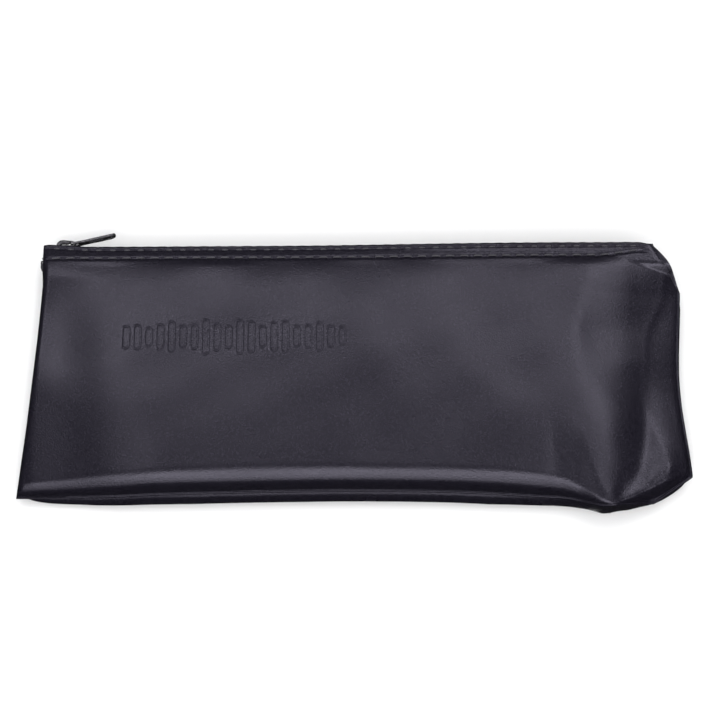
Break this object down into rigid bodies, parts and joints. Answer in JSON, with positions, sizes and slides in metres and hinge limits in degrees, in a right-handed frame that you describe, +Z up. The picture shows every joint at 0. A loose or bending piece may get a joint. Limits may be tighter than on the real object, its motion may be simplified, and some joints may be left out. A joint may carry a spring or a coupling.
{
  "type": "zipped vinyl microphone pouch",
  "caption": "Flat zipped vinyl pouch for a handheld microphone: two sewn panels, a hemmed mouth closed by a coil zip, and a metal slider that runs along it with a swinging pull tab.",
  "frame": {"origin": "under the middle of the pouch, on the surface that its back panel lies on", "axes": "+X along the pouch, from the end where the slider closes to the roomy end; +Y from the bottom seam to the zipped mouth; +Z up through the thickness, out of the front panel"},
  "size_m": [0.25, 0.1071, 0.0221],
  "materials": {
    "vinyl": "black vinyl with a fine pebble grain and a soft satin sheen",
    "zip_tape": "black woven polyester tape, matte",
    "coil_nylon": "black nylon monofilament, satin",
    "slider_metal": "black enamelled zinc, glossy with bright worn edges",
    "thread": "black bonded polyester thread, slight sheen"
  },
  "bodies": {
    "pouch": {"front_panel": "vinyl", "back_panel": "vinyl", "front_zip_tape": "zip_tape", "back_zip_tape": "zip_tape", "front_coil": "coil_nylon", "back_coil": "coil_nylon", "front_coil_cord": "thread", "back_coil_cord": "thread", "front_hem_upper_thread": "thread", "front_hem_lower_thread": "thread", "back_hem_upper_thread": "thread", "back_hem_lower_thread": "thread", "left_seam_thread": "thread", "bottom_seam_thread": "thread", "corner_seam_thread": "thread", "right_seam_thread": "thread", "left_bar_tack": "thread", "right_bar_tack": "thread"},
    "slider": {"slider_body": "slider_metal"},
    "pull": {"pull_tab": "slider_metal"}
  },
  "joints": [
    {"name": "slider_slide", "type": "slide", "parent": "pouch", "child": "slider", "axis": [0.9999, 0, 0.0133], "range_m": [0, 0.212]},
    {"name": "pull_swing", "type": "hinge", "parent": "slider", "child": "pull", "pos_m": [-0.10764, 0.0495, 0.00708], "axis": [-0.0133, 0, 0.9999], "range_deg": [-18, 105]}
  ]
}
